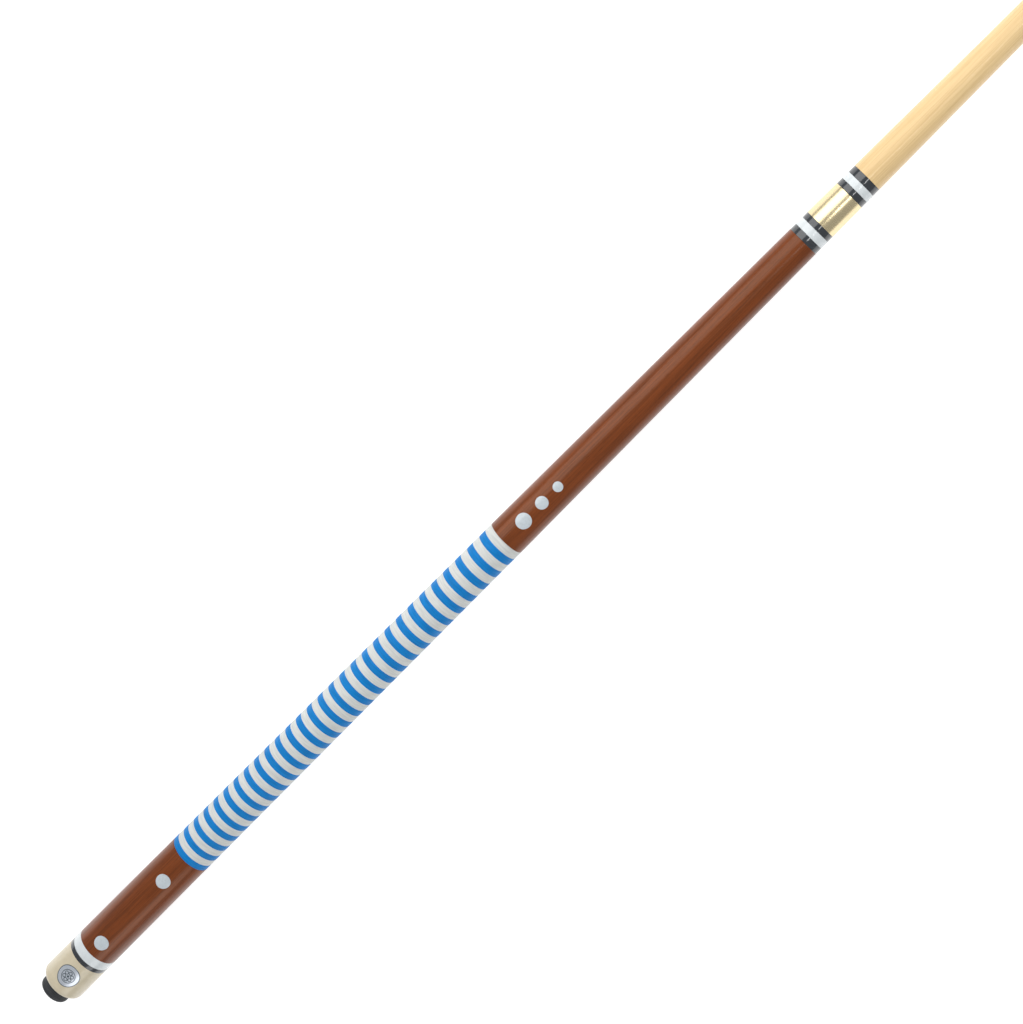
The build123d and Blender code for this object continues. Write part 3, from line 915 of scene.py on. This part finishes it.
class CUE_OT_wrap(bpy.types.Operator):
    """Wind the linen wrap: every band a crowned ring of thread turns"""

    bl_idname = "cue.wrap"
    bl_label = "Linen Wrap"

    def execute(self, context):
        pairs = 29
        blue_share = 0.48
        shells = {"blue": ([], []), "white": ([], [])}
        for pair in range(pairs):
            start = self.station(pair / pairs)
            middle = self.station((pair + blue_share) / pairs)
            end = self.station((pair + 1) / pairs)
            self.band(shells["blue"], start, middle)
            self.band(shells["white"], middle, end)
        for colour, (vertices, faces) in shells.items():
            node = "wrap_" + colour + "_bands"
            piece = new_piece(node + "_wound", vertices, faces, smooth_angle=60)
            fit(piece, "butt", finish_of(colour + "_linen"), colour + "_linen", node)
        return {"FINISHED"}

    def station(self, share):
        """Where this share of the thread has been wound: thinner wood takes more turns."""
        r0, r1 = outer_radius(WRAP_START), outer_radius(WRAP_END)
        radius = math.sqrt(r0 ** 2 + (r1 ** 2 - r0 ** 2) * share)
        return WRAP_START + (WRAP_END - WRAP_START) * (radius - r0) / (r1 - r0)

    def band(self, shell, start, end):
        """Adds one band, with a helix of thread valleys over its crown."""
        vertices, faces = shell
        pitch, relief, crown = sizes().thread_pitch, sizes().thread_relief, sizes().band_crown
        segments = sizes().segments // 2
        steps_per_turn = 4
        edge_power = 6
        thread_depth = 0.0009
        steps = round((end - start) / pitch * steps_per_turn)
        first = len(vertices)
        rows = 0
        for step in range(steps + 1):
            t = step / steps
            x = start + (end - start) * t
            dip = crown * (2 * t - 1) ** edge_power
            for i in range(segments):
                a = 2 * math.pi * i / segments
                valley = abs(math.cos(math.pi * (x / pitch + a / (2 * math.pi))))
                radius = outer_radius(x) - dip - relief * (1 - valley)
                vertices.append((x, radius * math.sin(a), radius * math.cos(a)))
            rows += 1
        for x in (end, start):
            vertices += ring_of_points(x, outer_radius(x) - thread_depth, segments)
            rows += 1
        for row in range(rows):
            a = first + row * segments
            b = first + (row + 1) % rows * segments
            for i in range(segments):
                j = (i + 1) % segments
                faces.append((a + i, b + i, b + j, a + j))


class CUE_OT_tip(bpy.types.Operator):
    """Turn the ferrule, its pad and the domed leather tip"""

    bl_idname = "cue.tip"
    bl_label = "Ferrule and Tip"

    def execute(self, context):
        edge = sizes().edge_round
        segments = sizes().segments
        tenon_end = FERRULE_START + 0.019
        outline = [
            (FERRULE_START, FERRULE_TENON), (tenon_end, FERRULE_TENON), (tenon_end, 0.0),
            (FERRULE_END, 0.0), (FERRULE_END, TIP_RADIUS - edge), (FERRULE_END - edge, TIP_RADIUS),
            (FERRULE_START + edge, TIP_RADIUS), (FERRULE_START, TIP_RADIUS - edge),
        ]
        ferrule = turn_piece("ferrule_turning", outline, segments)
        fit(ferrule, "shaft", finish_of("ferrule_resin"), "ferrule_resin", "ferrule")
        start, end = span("tip_pad")
        outline = [
            (end, 0.0), (end, TIP_RADIUS - edge), (end - edge, TIP_RADIUS),
            (start + edge, TIP_RADIUS), (start, TIP_RADIUS - edge), (start, 0.0),
        ]
        pad = turn_piece("pad_disc", outline, segments)
        fit(pad, "shaft", finish_of("red_fibre"), "red_fibre", "tip_pad")
        start, end = span("tip")
        dome = 0.0106
        rise = dome - math.sqrt(dome ** 2 - TIP_RADIUS ** 2)
        outline = []
        dome_steps = 14
        for i in range(dome_steps + 1):
            reach = TIP_RADIUS * i / dome_steps
            outline.append((end - dome + math.sqrt(dome ** 2 - reach ** 2), reach))
        side_steps = 4
        hollow = 0.00006
        for i in range(1, side_steps):
            x = end - rise - (end - rise - start) * i / side_steps
            outline.append((x, TIP_RADIUS - hollow * math.sin(math.pi * i / side_steps)))
        outline += [(start, TIP_RADIUS - edge), (start, 0.0)]
        tip = turn_piece("tip_dome", outline, segments, smooth_angle=60)
        fit(tip, "shaft", finish_of("tip_leather"), "tip_leather", "tip")
        return {"FINISHED"}


class CUE_OT_stage(bpy.types.Operator):
    """Lay the cue on a pale floor under soft boxes, and set the camera above it"""

    bl_idname = "cue.stage"
    bl_label = "Stage"

    def execute(self, context):
        self.lay_floor()
        self.light(context.scene)
        self.set_camera(context.scene)
        return {"FINISHED"}

    def lay_floor(self):
        """A pale floor that touches the butt and the tip, so it leans by the cue's taper."""
        butt_x = CAP_START + CAP_CORNER
        tip_x = CUE_END - 0.003
        slope = (outer_radius(butt_x) - TIP_RADIUS) / (tip_x - butt_x)
        reach = 7.0
        gap = 0.00003

        def height(x):
            return -outer_radius(butt_x) + slope * (x - butt_x) - gap

        square = ((-reach, -reach), (reach, -reach), (reach, reach), (-reach, reach))
        corners = [(x, y, height(x)) for x, y in square]
        mesh = bpy.data.meshes.new("studio_floor")
        mesh.from_pydata(corners, [], [(0, 1, 2, 3)])
        floor = bpy.data.objects.new("studio_floor", mesh)
        bpy.context.scene.collection.objects.link(floor)
        new_material("floor_paper", {
            "Base Color": (0.55, 0.55, 0.55, 1), "Roughness": 0.9,
            "Emission Color": (1.0, 1.0, 1.0, 1), "Emission Strength": 0.78,
            "Specular IOR Level": 0.0})
        mesh.materials.append(finish_of("floor_paper"))

    def light(self, scene):
        """Soft boxes beside and above the cue, and a grey room."""
        world = bpy.data.worlds.new("studio_room")
        scene.world = world
        world.use_nodes = True
        world.node_tree.nodes.clear()
        graph = Graph(world.node_tree)
        seen = graph.add("ShaderNodeBackground", {"Color": (1, 1, 1, 1), "Strength": 1.0})
        lit = graph.add("ShaderNodeBackground", {"Color": (0.94, 0.97, 1.0, 1), "Strength": 0.42})
        to_camera = graph.add("ShaderNodeLightPath").outputs["Is Camera Ray"]
        mixed = graph.add("ShaderNodeMixShader", {0: to_camera, 1: lit.outputs[0], 2: seen.outputs[0]})
        graph.add("ShaderNodeOutputWorld", {"Surface": mixed.outputs[0]})
        self.soft_box(
            scene, "left_box", spot=(0.85, 0.80, 0.95), aim=(0.75, 0.0, 0.0), size=(1.7, 1.3), watts=14.0)
        self.soft_box(
            scene, "overhead_strip", spot=(1.15, -0.27, 1.0), aim=(1.15, 0.0, 0.0),
            size=(0.95, 0.06), watts=1.9)
        self.soft_box(
            scene, "right_box", spot=(-0.75, -0.95, 0.85), aim=(-0.1, 0.0, 0.0),
            size=(1.0, 0.7), watts=3.6)

    def soft_box(self, scene, name, spot, aim, size, watts):
        """One oblong light that faces its aim, with its width along the cue."""
        lamp = bpy.data.lights.new(name, "AREA")
        lamp.shape = "RECTANGLE"
        lamp.size, lamp.size_y = size
        lamp.energy = watts
        lamp_object = bpy.data.objects.new(name, lamp)
        back = (Vector(spot) - Vector(aim)).normalized()
        along = Vector((1, 0, 0)) - back * back.x
        along.normalize()
        across = back.cross(along)
        turn = Matrix((along, across, back)).transposed().to_4x4()
        lamp_object.matrix_world = Matrix.Translation(spot) @ turn
        scene.collection.objects.link(lamp_object)

    def set_camera(self, scene):
        """A camera over the joint, leaning towards the butt and rolled to lay the cue cornerwise."""
        lean = math.radians(13.2)
        roll = math.radians(45.1)
        place = Vector((JOINT_FACE - 0.0211, 0.00914, 1.091))
        camera = bpy.data.cameras.new("studio_camera")
        camera.lens = 63.77
        camera.sensor_width = 36.0
        camera.clip_start = 0.01
        camera.clip_end = 50.0
        view = bpy.data.objects.new("studio_camera", camera)
        scene.collection.objects.link(view)
        along = Vector((math.cos(lean), 0.0, -math.sin(lean)))
        across = Vector((0.0, 1.0, 0.0))
        back = along.cross(across)
        right = along * math.cos(roll) - across * math.sin(roll)
        up = along * math.sin(roll) + across * math.cos(roll)
        turn = Matrix((right, up, back)).transposed().to_4x4()
        view.matrix_world = Matrix.Translation(place) @ turn
        scene.camera = view
        scene.view_settings.view_transform = "Standard"
        scene.view_settings.look = "None"


OPERATORS = (
    CUE_OT_materials, CUE_OT_bumper, CUE_OT_cap, CUE_OT_medallion, CUE_OT_rings,
    CUE_OT_woods, CUE_OT_dots, CUE_OT_wrap, CUE_OT_tip, CUE_OT_stage,
)


class CUE_PT_maker(bpy.types.Panel):
    """The cue's steps and settings in the sidebar"""

    bl_label = "Pool Cue"
    bl_idname = "CUE_PT_maker"
    bl_space_type = "VIEW_3D"
    bl_region_type = "UI"
    bl_category = "Cue"

    def draw(self, context):
        column = self.layout.column(align=True)
        for operator in OPERATORS:
            column.operator(operator.bl_idname)
        for group in (context.scene.cue_sizes, context.scene.cue_colours):
            box = self.layout.box()
            for name in group.__annotations__:
                box.prop(group, name)


CLASSES = (CueSizes, CueColours, *OPERATORS, CUE_PT_maker)


def register():
    """Adds the classes and their settings."""
    for cls in CLASSES:
        bpy.utils.register_class(cls)
    bpy.types.Scene.cue_sizes = PointerProperty(type=CueSizes)
    bpy.types.Scene.cue_colours = PointerProperty(type=CueColours)


def unregister():
    """Takes the classes and their settings away."""
    del bpy.types.Scene.cue_colours
    del bpy.types.Scene.cue_sizes
    for cls in reversed(CLASSES):
        bpy.utils.unregister_class(cls)


def main():
    """Makes the cue step by step."""
    register()
    bpy.ops.cue.materials()
    bpy.ops.cue.bumper()
    bpy.ops.cue.cap()
    bpy.ops.cue.medallion()
    bpy.ops.cue.rings()
    bpy.ops.cue.woods()
    bpy.ops.cue.dots()
    bpy.ops.cue.wrap()
    bpy.ops.cue.tip()
    bpy.ops.cue.stage()


if __name__ == "__main__":
    main()
